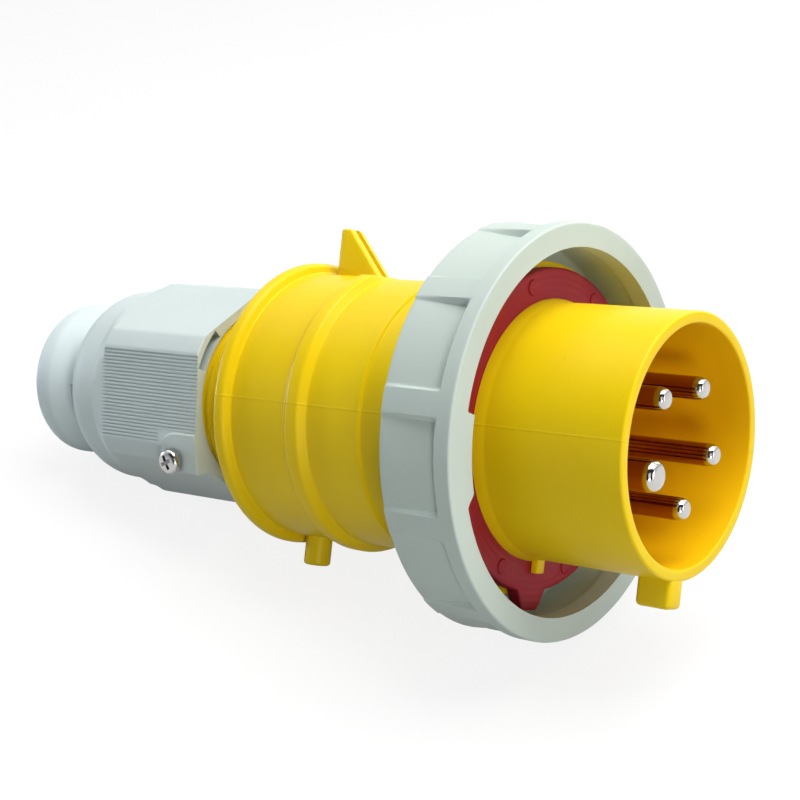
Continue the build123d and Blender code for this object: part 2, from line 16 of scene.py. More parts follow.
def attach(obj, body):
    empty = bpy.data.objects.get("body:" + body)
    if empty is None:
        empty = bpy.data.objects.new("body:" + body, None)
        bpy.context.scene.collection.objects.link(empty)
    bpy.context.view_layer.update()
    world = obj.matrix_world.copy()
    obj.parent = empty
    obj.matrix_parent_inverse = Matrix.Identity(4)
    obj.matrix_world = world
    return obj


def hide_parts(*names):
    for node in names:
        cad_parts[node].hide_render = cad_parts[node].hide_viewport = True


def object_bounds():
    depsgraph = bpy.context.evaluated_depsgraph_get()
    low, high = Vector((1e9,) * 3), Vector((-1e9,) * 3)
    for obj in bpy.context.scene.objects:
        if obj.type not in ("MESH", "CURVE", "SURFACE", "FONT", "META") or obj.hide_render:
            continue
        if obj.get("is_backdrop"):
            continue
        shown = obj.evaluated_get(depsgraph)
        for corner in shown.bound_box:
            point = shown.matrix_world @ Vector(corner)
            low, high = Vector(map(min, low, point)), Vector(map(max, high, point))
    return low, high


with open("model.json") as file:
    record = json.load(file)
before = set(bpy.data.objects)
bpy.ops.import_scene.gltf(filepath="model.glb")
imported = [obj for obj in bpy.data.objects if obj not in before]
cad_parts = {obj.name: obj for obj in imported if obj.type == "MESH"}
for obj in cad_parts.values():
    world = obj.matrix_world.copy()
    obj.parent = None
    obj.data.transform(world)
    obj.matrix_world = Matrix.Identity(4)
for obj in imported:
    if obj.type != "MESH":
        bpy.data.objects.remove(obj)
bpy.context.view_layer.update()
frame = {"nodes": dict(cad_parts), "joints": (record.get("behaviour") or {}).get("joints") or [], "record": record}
nodes = frame["nodes"]
record = frame["record"]

# %% [markdown]
# ## The plug's own axes
# The plug lies on the floor with its nose up, so its axis is tilted and rolled. Instead of repeating those
# angles, the cell below reads them back: the ring turns about the plug's axis, and the earth pin stands at
# a known angle round it. From these two facts comes one matrix that carries millimetres in the plug's own
# frame to metres on the floor.

# %% Read the axis and the roll from the frame
MM = 0.001
ring_front = -28.9
ring_rear = -47.0
pin_circle = 13.55
earth_angle = radians(210)

turning = frame["joints"][0]
mounts = {mount["name"]: mount for mount in record["mounts"]}
ahead = Vector(turning["axis"]).normalized()
ring_middle = Vector(turning["pos_m"])
rim_centre = ring_middle - ahead * (ring_front + ring_rear) / 2 * MM
to_earth = Vector(mounts["earth_contact"]["pos_m"]) - rim_centre
to_earth = (to_earth - to_earth.dot(ahead) * ahead).normalized()
across = ahead.cross(to_earth)
own_y = to_earth * cos(earth_angle) - across * sin(earth_angle)
own_z = ahead.cross(own_y)
own_axes = Matrix((ahead, own_y, own_z)).transposed().to_4x4()
to_floor = Matrix.Translation(rim_centre) @ own_axes @ Matrix.Scale(MM, 4)
print("axis", [round(part, 4) for part in ahead], "rim centre", [round(part, 4) for part in rim_centre])

# %% [markdown]
# ## Camera
# The camera stands a little above the plug and looks back along it from the pins' side, with a long lens,
# as a catalogue photographer would.

# %% Camera
camera_place = (0.2369, -0.2912, 0.2246)
camera_turn = (63.61, 1.33, 36.80)
camera_lens = 79.0

camera = bpy.data.objects.new("camera", bpy.data.cameras.new("camera"))
camera.location = camera_place
camera.rotation_euler = [radians(angle) for angle in camera_turn]
camera.data.lens = camera_lens
camera.data.clip_start = 0.01
bpy.context.scene.collection.objects.link(camera)
bpy.context.scene.camera = camera
print("camera at", camera_place, "with a lens of", camera_lens, "mm")

# %% [markdown]
# ## Node trees as sums
# Both materials and Geometry Nodes are graphs of small nodes. A graph is easier to read as a sum, so a
# Wire stands for one socket and answers to +, -, * and /, and a Board adds any other node by its type.

# %% A wire
class Wire:
    """One output socket of a node tree, which can be used in sums."""

    def __init__(self, board, socket):
        self.board = board
        self.socket = socket

    def math(self, operation, *others):
        return self.board.math(operation, self, *others)

    def __add__(self, other):
        return self.math("ADD", other)

    def __sub__(self, other):
        return self.math("SUBTRACT", other)

    def __rsub__(self, other):
        return self.board.math("SUBTRACT", other, self)

    def __mul__(self, other):
        return self.math("MULTIPLY", other)

    def __truediv__(self, other):
        return self.math("DIVIDE", other)

    def __rtruediv__(self, other):
        return self.board.math("DIVIDE", other, self)

    __radd__ = __add__
    __rmul__ = __mul__


print("a wire answers to +, -, * and /")

# %% A board
class Board:
    """A node tree that grows by one call for each node."""

    def __init__(self, tree):
        self.tree = tree

    def add(self, kind, settings=None, inputs=None, output=0):
        node = self.tree.nodes.new(kind)
        for name, value in (settings or {}).items():
            if name == "stops":
                self.set_stops(node.color_ramp, value)
            else:
                setattr(node, name, value)
        for key, value in (inputs or {}).items():
            self.feed(node.inputs[key], value)
        return Wire(self, node.outputs[output])

    def feed(self, socket, value):
        if isinstance(value, Wire):
            self.tree.links.new(value.socket, socket)
        else:
            socket.default_value = value

    def set_stops(self, ramp, stops):
        while len(ramp.elements) < len(stops):
            ramp.elements.new(0.5)
        for element, (position, colour) in zip(ramp.elements, stops):
            element.position = position
            element.color = (*colour, 1)

    def math(self, operation, *values):
        return self.add("ShaderNodeMath", {"operation": operation}, dict(enumerate(values)))

    def step(self, value, low, high):
        """0 below low, 1 above high and smooth between."""
        settings = {"interpolation_type": "SMOOTHSTEP"}
        return self.add("ShaderNodeMapRange", settings, {0: value, 1: low, 2: high})

    def ramp(self, value, low, high, start=0.0, end=1.0):
        """From start at low to end at high in a straight line, and level outside."""
        return self.add("ShaderNodeMapRange", None, {0: value, 1: low, 2: high, 3: start, 4: end})

    def mix(self, factor, first, second):
        """A colour between two colours."""
        settings = {"data_type": "RGBA"}
        first = first if isinstance(first, Wire) else (*first, 1)
        second = second if isinstance(second, Wire) else (*second, 1)
        return self.add("ShaderNodeMix", settings, {0: factor, 6: first, 7: second}, 2)

    def combine(self, x, y, z):
        return self.add("ShaderNodeCombineXYZ", None, {0: x, 1: y, 2: z})

    def split(self, vector):
        node = self.add("ShaderNodeSeparateXYZ", None, {0: vector}).socket.node
        return [Wire(self, socket) for socket in node.outputs]


print("node trees can now be written as sums")

# %% [markdown]
# ## Turned pieces
# Most of the plug is turned: a flat outline spun about the axis. The outline is a short list of corners,
# some with a rounding, and the spinning is a Geometry Nodes tree: a grid with one row for each step round
# the axis, whose points look up their place in the outline. A rule may then change the radius, which is
# how the ring gets its ribs, the nut its flats and the neck its thread, without leaving the one mesh.

# %% Outlines with rounded corners
arc_steps = 6
coarse_spacing = 4.0


def outline_points(corners, spacing=coarse_spacing):
    """The (x, radius) points of an outline; a third value in a corner is its rounding."""
    points = []
    count = len(corners)
    for index, corner in enumerate(corners):
        here = Vector(corner[:2])
        if len(corner) == 2:
            points.append(here)
            continue
        before = (Vector(corners[index - 1][:2]) - here).normalized()
        after = (Vector(corners[(index + 1) % count][:2]) - here).normalized()
        half = before.angle(after) / 2
        reach = corner[2] / tan(half)
        centre = here + (before + after).normalized() * corner[2] / sin(half)
        start = here + before * reach - centre
        end = here + after * reach - centre
        turn = start.angle_signed(end)
        for step in range(arc_steps + 1):
            points.append(centre + Matrix.Rotation(-turn * step / arc_steps, 2) @ start)
    spaced = []
    for index, point in enumerate(points):
        following = points[(index + 1) % len(points)]
        pieces = max(1, int((following - point).length / spacing))
        for step in range(pieces):
            spaced.append(point.lerp(following, step / pieces))
    return spaced


def outline_mesh(name, corners, spacing):
    """A mesh of loose points that holds an outline in its order."""
    points = outline_points(corners, spacing)
    mesh = bpy.data.meshes.new(name)
    mesh.from_pydata([(point.x, point.y, 0) for point in points], [], [])
    return mesh


sample = outline_points([(0, 0), (0, 10), (10, 10, 2), (10, 0)])
print("a square of 10 mm with one rounded corner has", len(sample), "points")

# %% Opening and closing a tree
socket_kinds = {
    "Geometry": "NodeSocketGeometry",
    "Material": "NodeSocketMaterial",
    "Steps": "NodeSocketInt",
    "Count": "NodeSocketInt",
}


def open_tree(name, sizes):
    """A new tree with a shape, a material and named sizes as inputs: its board, and a wire for each."""
    tree = bpy.data.node_groups.new(name, "GeometryNodeTree")
    for size in ("Geometry", *sizes, "Material"):
        kind = socket_kinds.get(size, "NodeSocketFloat")
        tree.interface.new_socket(size, in_out="INPUT", socket_type=kind)
    tree.interface.new_socket("Geometry", in_out="OUTPUT", socket_type="NodeSocketGeometry")
    board = Board(tree)
    entry = tree.nodes.new("NodeGroupInput")
    return board, {socket.name: Wire(board, socket) for socket in entry.outputs if socket.name}


def finish_tree(board, shape, material):
    """Every tree ends alike: real geometry, smooth faces, a material and the output."""
    shape = board.add("GeometryNodeRealizeInstances", None, {0: shape})
    shape = board.add("GeometryNodeSetShadeSmooth", None, {0: shape})
    shape = board.add("GeometryNodeSetMaterial", None, {"Geometry": shape, "Material": material})
    leave = board.tree.nodes.new("NodeGroupOutput")
    board.tree.links.new(shape.socket, leave.inputs[0])
    return board.tree


def take_mesh(worker):
    """The evaluated mesh of a working object, which is removed."""
    graph = bpy.context.evaluated_depsgraph_get()
    mesh = bpy.data.meshes.new_from_object(worker.evaluated_get(graph), depsgraph=graph)
    bpy.data.objects.remove(worker)
    return mesh


def run_tree(tree, mesh, inputs):
    """The mesh that a tree makes from a start mesh; inputs are given by name."""
    worker = bpy.data.objects.new("worker", mesh)
    bpy.context.scene.collection.objects.link(worker)
    modifier = worker.modifiers.new("tree", "NODES")
    modifier.node_group = tree
    for socket in tree.interface.items_tree:
        if socket.in_out == "INPUT" and socket.name in inputs:
            modifier[socket.identifier] = inputs[socket.name]
    return take_mesh(worker)


print("a tree can now be opened, finished and run")

# %% The tree that spins an outline
weld_distance = 0.002


def spinning_tree(name, rule=None, sizes=()):
    """A tree that turns an outline about X; rule(board, x, radius, angle, given) gives the new radius."""
    board, given = open_tree(name, ("Steps", *sizes))
    around = given["Steps"]
    along = board.add("GeometryNodeAttributeDomainSize", None, {0: given["Geometry"]})
    grid = board.add("GeometryNodeMeshGrid", None, {2: around + 1, 3: along + 1})
    index = board.add("GeometryNodeInputIndex")
    row = (index / (along + 1)).math("FLOOR")
    column = index - row * (along + 1)
    found = board.add(
        "GeometryNodeSampleIndex",
        {"data_type": "FLOAT_VECTOR", "domain": "POINT"},
        {
            "Geometry": given["Geometry"],
            "Value": board.add("GeometryNodeInputPosition"),
            "Index": column.math("MODULO", along),
        },
    )
    x, radius, _ = board.split(found)
    angle = row * (2 * pi) / around
    if rule:
        radius = rule(board, x, radius, angle, given)
    place = board.combine(x, radius * angle.math("COSINE"), radius * angle.math("SINE"))
    shape = board.add("GeometryNodeSetPosition", None, {"Geometry": grid, "Position": place})
    shape = board.add("GeometryNodeMergeByDistance", None, {"Geometry": shape, "Distance": weld_distance})
    return finish_tree(board, shape, given["Material"])


plain_spin = spinning_tree("spin_outline")


def turned(name, corners, material, steps, tree=None, spacing=coarse_spacing, **sizes):
    """A mesh turned from its outline, with the tree's sizes given by name."""
    named = {key.replace("_", " ").capitalize(): float(value) for key, value in sizes.items()}
    start = outline_mesh(name, corners, spacing)
    inputs = {"Steps": steps, "Material": material, **named}
    return run_tree(tree or plain_spin, start, inputs)


print("the plain spinning tree has", len(plain_spin.nodes), "nodes")

# %% [markdown]
# ## Joining, cutting and finishing
# A moulding is one piece of plastic, so its key, fin or boss is joined to it with an exact boolean. The
# finishing call marks sharp edges by their angle, carries the mesh to its place on the floor, hangs it on its
# body and hides the nodes it stands for.

# %% Booleans
sliver = 0.001


def outward(mesh):
    """The mesh with all its faces turned outwards."""
    form = bmesh.new()
    form.from_mesh(mesh)
    bmesh.ops.remove_doubles(form, verts=form.verts, dist=sliver)
    bmesh.ops.recalc_face_normals(form, faces=form.faces)
    form.to_mesh(mesh)
    form.free()
    return mesh


def combined(mesh, other, operation="UNION"):
    """One closed mesh from two, by an exact boolean."""
    worker = bpy.data.objects.new("worker", outward(mesh))
    tool = bpy.data.objects.new("tool", outward(other))
    for item in (worker, tool):
        bpy.context.scene.collection.objects.link(item)
    modifier = worker.modifiers.new("boolean", "BOOLEAN")
    modifier.operation = operation
    modifier.solver = "EXACT"
    modifier.object = tool
    result = take_mesh(worker)
    bpy.data.objects.remove(tool)
    return result


print("meshes can now be joined and cut")

# %% Blocks to join or cut with
def form_mesh(form):
    """A mesh from a bmesh, with its faces outwards and smooth."""
    bmesh.ops.recalc_face_normals(form, faces=form.faces)
    for face in form.faces:
        face.smooth = True
    mesh = bpy.data.meshes.new("form")
    form.to_mesh(mesh)
    form.free()
    return mesh


def rounded(form, edges, offset, segments):
    """Rounds some edges of a bmesh."""
    bmesh.ops.bevel(form, geom=edges, offset=offset, segments=segments, affect="EDGES", profile=0.5)


def bar(low, high, bevel=0.0, steps=3):
    """A box between two corners, with rounded edges if a bevel is given."""
    form = bmesh.new()
    bmesh.ops.create_cube(form, size=1)
    size = Vector(high) - Vector(low)
    middle = (Vector(high) + Vector(low)) / 2
    for vertex in form.verts:
        vertex.co = Vector(part * scale for part, scale in zip(vertex.co, size)) + middle
    if bevel:
        rounded(form, form.edges[:], bevel, steps)
    return form_mesh(form)


def sector(ends, radii, start, sweep, steps=24):
    """A block bent round the axis, from a start angle over a sweep in degrees."""
    form = bmesh.new()
    low, high = ends
    inner, outer = radii
    rows = []
    for step in range(steps + 1):
        angle = radians(start + sweep * step / steps)
        corners = ((low, inner), (low, outer), (high, outer), (high, inner))
        rows.append([form.verts.new((x, radius * cos(angle), radius * sin(angle))) for x, radius in corners])
    for before, after in zip(rows, rows[1:]):
        for side in range(4):
            follow = (side + 1) % 4
            form.faces.new((before[side], before[follow], after[follow], after[side]))
    form.faces.new(rows[0][::-1])
    form.faces.new(rows[-1])
    return form_mesh(form)


print("blocks can now be made straight, bent and rounded")

# %% Moving and finishing a mesh
sharp_degrees = 32
sharp_angle = radians(sharp_degrees)


def moved(mesh, matrix):
    """The mesh after a move or a turn."""
    mesh.transform(matrix)
    return mesh


def round_axis(angle):
    """A turn about the plug's axis, in degrees."""
    return Matrix.Rotation(radians(angle), 4, "X")


def finished(name, mesh, material, body, replaced):
    """The mesh as a named piece on its body, in place of the nodes it stands for."""
    form = bmesh.new()
    form.from_mesh(mesh)
    bmesh.ops.remove_doubles(form, verts=form.verts, dist=weld_distance)
    bmesh.ops.dissolve_degenerate(form, edges=form.edges, dist=sliver)
    bmesh.ops.recalc_face_normals(form, faces=form.faces)
    for edge in form.edges:
        edge.smooth = len(edge.link_faces) == 2 and edge.calc_face_angle(0) < sharp_angle
    for face in form.faces:
        face.smooth = True
    form.to_mesh(mesh)
    form.free()
    mesh.transform(to_floor)
    mesh.materials.clear()
    mesh.materials.append(material)
    piece = bpy.data.objects.new(name, mesh)
    bpy.context.scene.collection.objects.link(piece)
    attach(piece, body)
    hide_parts(*replaced)
    print(name, len(mesh.polygons), "faces")
    return piece


print("edges of more than", sharp_degrees, "degrees stay sharp")

# %% [markdown]
# ## Finishes
# Moulded polyamide is never one flat colour. It has a soft sheen, a faint cloudiness where the melt flowed,
# tiny dark specks and a raised hairline where the halves of the mould met. Inside the yellow sleeve the colour
# is painted a brighter orange, which is painted bounce light from its walls. All patterns are laid out in the
# plug's own frame, so the hairline runs along the axis.

# %% Pattern coordinates in the plug's own frame
floor_to_own = to_floor.inverted()


def own_place(board):
    """The point's place in the plug's own frame, in millimetres."""
    here = board.add("ShaderNodeTexCoord", output=3)
    back = floor_to_own
    rows = [Vector(back[row][:3]) for row in range(3)]
    turned_parts = []
    for row in range(3):
        dot = board.add("ShaderNodeVectorMath", {"operation": "DOT_PRODUCT"}, {0: here, 1: rows[row]}, 1)
        turned_parts.append(dot + back[row][3])
    return turned_parts


def noise(board, vector, scale, detail, rough=0.5):
    """A cloud pattern between 0 and 1."""
    inputs = {"Vector": vector, "Scale": scale, "Detail": detail, "Roughness": rough}
    return board.add("ShaderNodeTexNoise", None, inputs)


def raised(board, shader, height):
    """Lets a height in millimetres bend the light on a surface."""
    settings = {"Strength": 1.0, "Distance": MM, "Height": height}
    board.feed(shader.inputs["Normal"], board.add("ShaderNodeBump", None, settings))


def surface(name):
    """A new material with its board and its shader node."""
    material = bpy.data.materials.new(name)
    material.use_nodes = True
    shader = material.node_tree.nodes["Principled BSDF"]
    return material, Board(material.node_tree), shader


print("patterns start", round(rim_centre.length / MM), "mm from the middle of the floor")

# %% Moulded plastic
plastic_gloss = 0.15
cloud_scale = 0.045
grain_scale = 1.6
speck_scale = 0.9
grain_height = 0.012
seam_height = 0.07
seam_widths = (0.06, 0.28)
# Where the painted bounce light lies: inside the sleeve's bore, from its floor forward.
painted_bounce_radii = (25.6, 26.0)
painted_bounce_depths = (-60.0, -38.0)
outside_radii = (26.9, 27.1)


def moulded_plastic(name, colour, deep_colour, roughness, seam_angle=None, speck=0.0, painted_bounce_colour=None):
    """Satin plastic with flow clouds, specks, a mould seam and painted bounce light: a brighter orange inside the
    sleeve.
    """
    material, board, shader = surface(name)
    shader.inputs["Specular IOR Level"].default_value = plastic_gloss
    x, y, z = own_place(board)
    place = board.combine(x, y, z)
    clouds = noise(board, place, cloud_scale, 3.0)
    grain = noise(board, place, grain_scale, 4.0, 0.6)
    shade = board.step(clouds, 0.3, 0.75)
    base = board.mix(shade * 0.45, colour, deep_colour)
    radius = board.math("SQRT", y * y + z * z)
    # Painted bounce light: inside the sleeve the colour turns a brighter orange, in place of light bounced between
    # the yellow walls.
    if painted_bounce_colour:
        inside = (1 - board.step(radius, *painted_bounce_radii)) * board.step(x, *painted_bounce_depths)
        base = board.mix(inside, base, painted_bounce_colour)
    if speck:
        specks = board.step(noise(board, place, speck_scale, 1.0), 0.755, 0.79)
        base = board.mix(specks * speck, base, [part * 0.45 for part in deep_colour])
    board.feed(shader.inputs["Base Color"], base)
    board.feed(shader.inputs["Roughness"], roughness + (grain - 0.5) * 0.12)
    height = grain * grain_height
    if seam_angle is not None:
        angle = z.math("ARCTAN2", y) - radians(seam_angle)
        off = angle.math("SINE").math("ABSOLUTE") * radius
        outside = board.step(radius, *outside_radii)
        height = height + (1 - board.step(off, *seam_widths)) * outside * seam_height
    raised(board, shader, height)
    return material


# The yellow's last colour is painted bounce light for the inside of the sleeve.
yellow = moulded_plastic("yellow_polyamide", (0.80, 0.57, 0.004), (0.76, 0.50, 0.003), 0.34,
                         seam_angle=180.5, speck=0.15, painted_bounce_colour=(0.92, 0.52, 0.004))
ring_grey = moulded_plastic("ring_grey_polyamide", (0.50, 0.575, 0.53), (0.46, 0.53, 0.49), 0.42)
nut_grey = moulded_plastic("nut_grey_polyamide", (0.56, 0.63, 0.61), (0.51, 0.59, 0.59), 0.46, speck=0.2)
sleeve_grey = moulded_plastic("sleeve_grey_polyamide", (0.63, 0.71, 0.71), (0.58, 0.67, 0.68), 0.5)
black_moulding = moulded_plastic("black_insulator", (0.03, 0.03, 0.032), (0.02, 0.02, 0.022), 0.5)
white_moulding = moulded_plastic("white_washer", (0.8, 0.8, 0.78), (0.75, 0.75, 0.72), 0.4)
print("plastics:", len(bpy.data.materials))

# %% [markdown]
# ## Rubber and plated metal
# The gasket is moulded rubber, which is matt and a little dusty. The pins are brass with a thin bright plate,
# and both metals show the fine rings of the lathe. Behind the rounded tip the shank is painted a dark brass
# brown, a painted reflection of the orange sleeve round the pins. A picture of such a surface could be wrapped
# round the piece, but a pattern worked out from the place needs no unwrapping.

# %% Rubber
rubber_gloss = 0.3


def rubber(name, colour, worn, roughness=0.5):
    """Moulded rubber with a dusty bloom and faint rings round the axis."""
    material, board, shader = surface(name)
    shader.inputs["Specular IOR Level"].default_value = rubber_gloss
    x, y, z = own_place(board)
    place = board.combine(x, y, z)
    radius = board.math("SQRT", y * y + z * z)
    bloom = board.step(noise(board, place, 0.12, 4.0), 0.35, 0.7)
    board.feed(shader.inputs["Base Color"], board.mix(bloom * 0.6, colour, worn))
    board.feed(shader.inputs["Roughness"], roughness + bloom * 0.1)
    rings = (radius * 4.2).math("SINE") * 0.02
    grain = noise(board, place, 2.5, 3.0) * 0.02
    raised(board, shader, rings + grain)
    return material


red_rubber = rubber("red_rubber", (0.28, 0.005, 0.012), (0.25, 0.010, 0.032))
black_rubber = rubber("black_rubber", (0.02, 0.02, 0.021), (0.035, 0.035, 0.036), 0.6)
print("rubbers:", red_rubber.name, "and", black_rubber.name)

# %% Plated metal
# Width of the blend from the plating to the painted reflection, in millimetres.
reflection_blend = 0.5
mark_height = 0.0006
# A dark brass brown painted on the pins' shanks: a painted reflection of the orange sleeve round them.
painted_reflection_brown = (0.37, 0.14, 0.03)
nickel_colour = (0.48, 0.47, 0.45)
zinc_colour = (0.46, 0.46, 0.45)


def plated(name, colour, roughness, reflection_colour=None, reflection_from=0.0):
    """Bright plating with turning marks and duller patches, and behind a given x a painted reflection: a given
    brown for the orange sleeve mirrored in the metal.
    """
    material, board, shader = surface(name)
    x, y, z = own_place(board)
    place = board.combine(x, y, z)
    dull = board.step(noise(board, place, 0.35, 3.0), 0.45, 0.75)
    base = board.mix(dull * 0.4, colour, [part * 0.86 for part in colour])
    # Painted reflection: behind the given x the metal takes the sleeve's reflected brown in place of its plating.
    if reflection_colour:
        base = board.mix(1 - board.step(x, reflection_from - reflection_blend, reflection_from), base, reflection_colour)
    board.feed(shader.inputs["Base Color"], base)
    shader.inputs["Metallic"].default_value = 1.0
    board.feed(shader.inputs["Roughness"], roughness + dull * 0.08)
    raised(board, shader, (x * 9.0).math("SINE") * mark_height)
    return material


# Behind their rounded tips the pins' shanks carry the painted reflection of the orange sleeve.
nickel = plated("nickel_plate", nickel_colour, 0.12, painted_reflection_brown, reflection_from=-3.0)
earth_nickel = plated("earth_nickel_plate", nickel_colour, 0.12, painted_reflection_brown, reflection_from=-2.1)
zinc = plated("zinc_plate", zinc_colour, 0.14)
print("finishes in all:", len(bpy.data.materials))

# %% [markdown]
# ## The shroud
# The yellow sleeve round the pins carries the key, which only lets the plug into its own kind of socket, and
# a small nub at the foot. Behind it are the flange for the gasket and the stop for the ring. The sleeve could
# be cut from a cylinder, but one outline spun about the axis gives the rims and the soft foot in one go. The
# key and the nub are blocks that are joined on.

# %% Shroud
shroud_radius = 28.25
shroud_bore = 25.7
cavity_floor = -38.5
floor_wall = 3.0
gasket_front = -35.5
foot_length = 2.6
collar_radius = 28.95
flange_radius = 37.0
flange_rear = -41.7
shoulder_radius = 33.6
housing_front = -43.5
spigot_end = -49.5
spigot_radius = 28.4
spigot_bore = 25.9

shroud = turned("shroud", [
    (cavity_floor, 0),
    (cavity_floor, shroud_bore, 1.2),
    (0, shroud_bore, 0.4),
    (0, shroud_radius, 0.6),
    (gasket_front + foot_length, shroud_radius, 3.0),
    (gasket_front, collar_radius),
    (cavity_floor, collar_radius),
    (cavity_floor, flange_radius, 0.5),
    (flange_rear, flange_radius, 0.5),
    (flange_rear, shoulder_radius),
    (housing_front, shoulder_radius),
    (housing_front, spigot_radius),
    (spigot_end, spigot_radius),
    (spigot_end, spigot_bore),
    (cavity_floor - floor_wall, spigot_bore),
    (cavity_floor - floor_wall, 0),
], yellow, steps=224)

# %% Key and nub
key_angle = 270
inside_wall = 27.2
key_length = 8.3
key_top = 34.1
key_half_width = 2.75
nub_length = 1.7
nub_top = 31.45
nub_half_width = 1.5

key = bar((-key_length, inside_wall, -key_half_width), (0.0, key_top, key_half_width), 1.1, 4)
nub_start = (gasket_front, inside_wall, -nub_half_width)
nub_end = (gasket_front + nub_length, nub_top, nub_half_width)
nub = bar(nub_start, nub_end, 0.35, 2)
for part in (key, nub):
    shroud = combined(shroud, moved(part, round_axis(key_angle)))
finished("yellow_shroud", shroud, yellow, "plug", ["plug_shroud"])

# %% [markdown]
# ## The contact pins
# Five turned pins with flat ends and generously rounded edges. The earth pin is thicker and reaches further,
# so that it makes contact first. A cylinder with a bevel would give a plain round edge. Here the edge is a
# quarter of an ellipse, longer than it is deep, so it goes into the outline as a formula.

# %% Pins
pin_names = ["earth_pin"] + [f"contact_pin_{number}" for number in range(1, 5)]
pin_radius = 2.5
pin_tip = -1.2
earth_radius = 3.5
earth_tip = -0.3
flat_share = 0.56
bullet_length = 2.1
bullet_steps = 8
shoulder_front = -41.5
shoulder_reach = 1.75
pin_rear = -58.5


def pin_mesh(radius, tip, finish):
    """One pin about its own axis, with its bullet edge and its shoulder behind the floor."""
    flat_radius = radius * flat_share
    rise = radius - flat_radius
    arcs = [pi / 2 * step / bullet_steps for step in range(bullet_steps + 1)]
    bullet = [(tip - bullet_length * (1 - cos(arc)), flat_radius + rise * sin(arc)) for arc in arcs]
    return turned("pin", [
        (tip, 0),
        *bullet,
        (shoulder_front, radius),
        (shoulder_front, radius + shoulder_reach),
        (pin_rear, radius + shoulder_reach),
        (pin_rear, 0),
    ], finish, steps=64)


for step, name in enumerate(pin_names):
    angle = earth_angle + 2 * pi * step / len(pin_names)
    earth = name == "earth_pin"
    finish = earth_nickel if earth else nickel
    mesh = pin_mesh(earth_radius, earth_tip, finish) if earth else pin_mesh(pin_radius, pin_tip, finish)
    moved(mesh, Matrix.Translation((0, pin_circle * cos(angle), pin_circle * sin(angle))))
    finished(name + "_plated", mesh, finish, "plug", [name])

# %% [markdown]
# ## The face gasket
# A flat red ring with an ear at the key's side, which seals against the rim of the socket. The ear could be a
# second piece joined on, but a rule that lifts the outer edge near one angle keeps the gasket in one skin.
# Eight moulded pips stand on it. They are copies of one disc on the points of a circle, so their number and
# their circle are two inputs of one tree.

# %% A tree that sets copies
def copies_tree(name, sizes, place_rule):
    """A tree that sets a copy of its shape at the place that a rule gives for each number."""
    board, given = open_tree(name, ("Count", *sizes))
    index = board.add("GeometryNodeInputIndex")
    line = board.add("GeometryNodeMeshLine", None, {0: given["Count"]})
    spots = {"Geometry": line, "Position": place_rule(board, index, given)}
    spread = board.add("GeometryNodeSetPosition", None, spots)
    copies = {"Points": spread, "Instance": given["Geometry"]}
    shape = board.add("GeometryNodeInstanceOnPoints", None, copies)
    return finish_tree(board, shape, given["Material"])


def on_circle(board, index, given):
    """Places evenly round the axis, half a step from the start."""
    angle = (index + 0.5) * (2 * pi) / given["Count"]
    circle = given["Circle"]
    return board.combine(0.0, circle * angle.math("COSINE"), circle * angle.math("SINE"))


pips_on_circle = copies_tree("gasket_pips", ["Circle"], on_circle)
print("the tree for the pips has", len(pips_on_circle.nodes), "nodes")

# %% Gasket
gasket_radius = 35.7
gasket_bore = collar_radius + 0.05
gasket_lip = 34.5
ear_middle = radians(key_angle)
ear_tip = radians(3.6)
ear_foot = radians(9.2)
ear_height = 4.1


def ear_rule(board, x, radius, angle, given):
    """Lifts the outer edge to the ear near its angle."""
    off = (angle - ear_middle).math("ABSOLUTE")
    lift = 1 - board.step(off, ear_tip, ear_foot)
    outer = board.step(radius, gasket_lip, gasket_radius)
    return radius + lift * outer * given["Ear height"]


ear_spin = spinning_tree("spin_gasket", ear_rule, ["Ear height"])
gasket = turned("gasket", [
    (cavity_floor, gasket_bore),
    (cavity_floor, gasket_radius),
    (gasket_front, gasket_radius, 0.5),
    (gasket_front, gasket_bore),
], red_rubber, steps=720, tree=ear_spin, spacing=1.5, ear_height=ear_height)

# %% Pips on the gasket
pip_count = 8
pip_circle = 32.5
pip_radius = 1.75
pip_root = gasket_front - 0.5
pip_top = gasket_front + 0.35

pip = turned("pip", [
    (pip_root, 0),
    (pip_root, pip_radius),
    (pip_top, pip_radius, 0.25),
    (pip_top, 0),
], red_rubber, steps=32)
pips = run_tree(pips_on_circle, pip, {"Count": pip_count, "Circle": pip_circle, "Material": red_rubber})
gasket = combined(gasket, pips)
finished("red_gasket", gasket, red_rubber, "plug", ["face_gasket"])

# %% [markdown]
# ## The locking ring
# Eleven ribs give a wet glove its grip. Inside the mouth two lugs run up the socket's ramps when the ring is
# turned. Eleven blocks could be joined on, but the real ribs fade towards the rear, and the panels between
# them begin with a slope. So they share one rule: the wall stands at full height near a rib's middle and in
# front of the slope, and drops to the panels elsewhere.

# %% The rule of the ring
rib_count = 11
rib_first = 176.4
ring_radius = 45.8
rib_crest = 5.2
rib_foot = 6.8
slope_front = -32.5
slope_rear = -34.1
least_relief = 0.15
outer_wall = (44.0, 44.6)
mouth_radius = 40.4
lug_starts = (177.0, 357.0)
lug_sweep = 28.5
lug_rear = (ring_front - 3.2, ring_front - 3.0)


